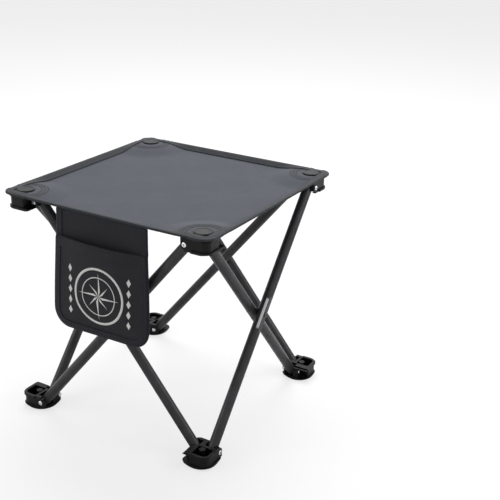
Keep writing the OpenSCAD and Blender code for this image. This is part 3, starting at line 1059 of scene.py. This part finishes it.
def pocket_tape():
    path = outline_path()
    depths = [POCKET_TAPE_W, 0.72 * POCKET_TAPE_W, 0.4 * POCKET_TAPE_W, 1.0 * MM]
    points, uv = [], []
    far, previous = 0.0, path[0][0]
    for place, inward in path:
        far += (place - previous).length
        previous = place
        wrap = 0.0
        for side in (1, 0, -1):
            for depth_in in (depths if side == 1 else [-0.5 * MM] if side == 0 else depths[::-1]):
                at = place + inward * depth_in
                near = place + inward * max(depth_in, 1.0 * MM)
                back = pocket_point(near.x, near.y, back_depth, 0.0).y
                front = pocket_point(near.x, near.y, front_depth, 0.0).y
                share = layer_face(near.y)
                outer = back + (front - back) * share - 0.75 * MM
                inner = back + POCKET_T + 0.75 * MM
                y = outer if side == 1 else inner if side == -1 else (outer + inner) / 2
                points.append(Vector((at.x, y, POCKET_TOP - at.y)))
                uv.append((far, wrap))
                wrap += 2.6 * MM
    columns = 2 * len(depths) + 1
    faces = ribbon_faces(len(path), columns)
    return make_piece("pocket_edge_tape", points, faces, POCKET_TAPE, uv, 0.6 * MM, 60.0)


pocket_binding = pocket_tape()


# %% Sew the pocket
def pocket_rows():
    tape_seam = []
    for place, inward in outline_path():
        at = place + inward * (POCKET_TAPE_W - 1.8 * MM)
        back = back_depth(at.x, at.y)
        front = front_depth(at.x, at.y)
        y = back + (front - back) * layer_face(at.y) - 0.85 * MM
        tape_seam.append(Vector((at.x, y, POCKET_TOP - at.y)))
    mouth_seam = []
    for i in range(60):
        across = 0.87 * (-1 + 2 * i / 59)
        down = MOUTH + 12.2 * MM
        mouth_seam.append(pocket_point(across * pocket_half(down), down, front_depth, 0.62 * MM))
    return [tape_seam, mouth_seam]


pocket_stitches = stitch_rows("pocket_stitches", pocket_rows(), DARK_THREAD)
print("pocket tape and stitches made")

# %% [markdown]
# A pale screen print decorates the front panel. The motif is a plain compass rose: a ring and
# eight points, each point with one filled half, between two columns of lozenges. The print is a
# very thin skin that follows the cloth.


# %% The printed compass rose
PRINT_DOWN = 112 * MM


def star_shapes():
    """Flat outlines of the print, as lists of points across and down from its middle"""
    shapes = []
    for i in range(8):
        long = i % 2 == 0
        reach = (35 if long else 22) * MM
        waist = (8.2 if long else 7.0) * MM
        angle = math.radians(45 * i - 90)
        tip = Vector((math.cos(angle), math.sin(angle))) * reach
        beside = Vector((math.cos(angle + math.pi / 8), math.sin(angle + math.pi / 8))) * waist
        shapes.append([Vector((0.0, 0.0)), tip, beside])
    for column in (-50 * MM, 50 * MM):
        for i in range(5):
            middle = Vector((column, (i - 2) * 15.5 * MM))
            wide, tall = 3.4 * MM, 6.0 * MM
            shapes.append([middle + Vector(c) for c in ((-wide, 0), (0, -tall), (wide, 0), (0, tall))])
    return shapes


def lay_on_cloth(outline, steps, points, uv, faces):
    """Cuts a triangle or a lozenge into small ones and lays it on the front panel"""
    for a, b, c in [[outline[0], outline[k], outline[k + 1]] for k in range(1, len(outline) - 1)]:
        index = {}
        for i in range(steps + 1):
            for j in range(steps + 1 - i):
                p = a + (b - a) * (i / steps) + (c - a) * (j / steps)
                index[i, j] = len(points)
                points.append(pocket_point(p.x, PRINT_DOWN + p.y, front_depth, 0.12 * MM))
                uv.append((p.x, PRINT_DOWN + p.y))
        for i in range(steps):
            for j in range(steps - i):
                faces.append((index[i, j], index[i + 1, j], index[i, j + 1]))
                if i + j < steps - 1:
                    faces.append((index[i + 1, j], index[i + 1, j + 1], index[i, j + 1]))


def compass_print():
    points, uv, faces = [], [], []
    for outline in star_shapes():
        lay_on_cloth(outline, 8, points, uv, faces)
    for inner, outer in ((38.5 * MM, 42 * MM), (27 * MM, 28.4 * MM)):
        base = len(points)
        for i in range(96):
            angle = 2 * math.pi * i / 96
            for radius in (inner, outer):
                x, down = radius * math.cos(angle), PRINT_DOWN + radius * math.sin(angle)
                points.append(pocket_point(x, down, front_depth, 0.12 * MM))
                uv.append((x, down))
        for i in range(96):
            a, b = base + 2 * i, base + 2 * ((i + 1) % 96)
            faces.append((a, a + 1, b + 1, b))
    piece = make_piece("pocket_print", points, faces, INK, uv)
    outward = [f.index for f in piece.data.polygons if f.normal.y > 0]
    for index in outward:
        piece.data.polygons[index].flip()
    shell = piece.modifiers.new("ink thickness", "SOLIDIFY")
    shell.thickness = 0.1 * MM
    shell.offset = -1.0
    return settle(piece)


pocket_print = compass_print()
print("print faces:", len(pocket_print.data.polygons))

# %% [markdown]
# ## Join the cloth to the moving frame
# Corners ride on their hubs. A border rides on the hub that carries it. The triangles ride
# on their own hinged bodies. The pocket swings from the hem.


# %% Tie every piece to its body
def gather(piece, body):
    """Lets a piece ride on a body, with a mesh of its own"""
    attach(piece, body)
    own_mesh(piece)


def tie(piece, kind, place):
    """Ties a piece of the seat to what carries its kind of cloth: corner, border or gore"""
    if kind == "corner":
        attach(piece, "seat_hub_" + place)
    elif kind == "border":
        gather(piece, "seat_hub_" + HUB_OF_SIDE[place])
    else:
        gather(piece, "seat_gore_" + place)


for owner, piece in seat_pieces.items():
    tie(piece, *owner.split("_", 1))
    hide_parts("seat_" + owner)
for owner, piece in seat_stitches.items():
    tie(piece, *owner.split("_", 1))
for place in EDGE_PATHS:
    for piece in (edge_tapes[place], hem_stitches[place]):
        tie(piece, "corner" if place in CORNERS else "border", place)
pocket_pieces = (pocket_back, pocket_front, pocket_hem, pocket_binding, pocket_stitches, pocket_print)
for piece in pocket_pieces:
    gather(piece, "pocket")
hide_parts("pocket_back")
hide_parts("pocket_front")
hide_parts("pocket_binding")
tied = [len(group) for group in (seat_pieces, seat_stitches, edge_tapes, hem_stitches, pocket_pieces)]
print("pieces tied to bodies:", sum(tied))

# %% Go through the seat pieces by kind, taking no step for any of them
for owner, piece in seat_pieces.items():
    kind = owner.split("_")[0]
    if kind == "corner":
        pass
    elif kind == "border":
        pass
    else:
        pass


print("cloth declared:", len(seat_pieces) + len(edge_tapes) + 4, "sheets")

# %% [markdown]
# ## Floor, light and camera
# A pale floor that runs far back, one wide soft lamp overhead and behind, a soft fill from
# the left front, a small lamp at the right, and an even sky. The camera stands at the front
# right, a little above.

# %% The floor
floor_mesh = bpy.data.meshes.new("floor")
floor_mesh.from_pydata([(-12, -12, 0), (12, -12, 0), (12, 12, 0), (-12, 12, 0)], [], [(0, 1, 2, 3)])
floor = bpy.data.objects.new("floor", floor_mesh)
bpy.context.scene.collection.objects.link(floor)
floor_material, tree, shader = new_material("pale_floor", Base_Color=(0.86, 0.86, 0.86, 1.0), Roughness=0.9)
glow = add_node(tree, "ShaderNodeEmission")
path = add_node(tree, "ShaderNodeLightPath")
mix = add_node(tree, "ShaderNodeMixShader")
feed(tree, mix.inputs[0], calc(tree, "MULTIPLY", path.outputs["Is Camera Ray"], 0.7))
feed(tree, mix.inputs[1], shader.outputs[0])
feed(tree, mix.inputs[2], glow.outputs[0])
feed(tree, tree.nodes["Material Output"].inputs["Surface"], mix.outputs[0])
floor_mesh.materials.append(floor_material)


# %% The lamps and the sky
def soft_lamp(name, place, target, size, power):
    lamp = bpy.data.lights.new(name, "AREA")
    lamp.shape = "DISK"
    lamp.size = size
    lamp.energy = power
    light = bpy.data.objects.new(name, lamp)
    light.location = place
    light.rotation_mode = "QUATERNION"
    light.rotation_quaternion = (Vector(target) - Vector(place)).to_track_quat("-Z", "Y")
    bpy.context.scene.collection.objects.link(light)


middle = (0.0, 0.0, 0.2)
soft_lamp("overhead softbox", (-0.5, 1.3, 2.4), middle, 2.0, 62.0)
soft_lamp("left fill", (-1.8, -1.6, 1.3), middle, 1.2, 14.0)
soft_lamp("right rim", (2.0, 0.6, 1.2), middle, 0.8, 12.0)
sky = bpy.data.worlds.new("even sky")
bpy.context.scene.world = sky
sky.use_nodes = True
tree = sky.node_tree
background = tree.nodes["Background"]
path = add_node(tree, "ShaderNodeLightPath")
seen = calc(tree, "MAXIMUM", path.outputs["Is Camera Ray"], path.outputs["Is Glossy Ray"])
seen = calc(tree, "MAXIMUM", seen, path.outputs["Is Transmission Ray"])
feed(tree, background.inputs["Strength"], spread(tree, seen, 0.0, 1.0, 0.5, 1.0))
background.inputs["Color"].default_value = (1.0, 1.0, 1.0, 1.0)

# %% The camera
AROUND, ABOVE, ROLL = math.radians(29.95), math.radians(22.18), math.radians(1.43)
back = Vector((math.sin(AROUND) * math.cos(ABOVE), -math.cos(AROUND) * math.cos(ABOVE), math.sin(ABOVE)))
right = Vector((math.cos(AROUND), math.sin(AROUND), 0.0))
up = back.cross(right)
turned_right = math.cos(ROLL) * right + math.sin(ROLL) * up
turned_up = math.cos(ROLL) * up - math.sin(ROLL) * right
camera_data = bpy.data.cameras.new("camera")
camera_data.lens = 68.75
camera_data.sensor_width = 36.0
camera = bpy.data.objects.new("camera", camera_data)
camera.matrix_world = Matrix((turned_right, turned_up, back)).transposed().to_4x4()
camera.location = (0.7673, -1.1016, 0.7867)
bpy.context.scene.collection.objects.link(camera)
bpy.context.scene.camera = camera
bpy.context.scene.view_settings.view_transform = "Standard"
print("camera placed")
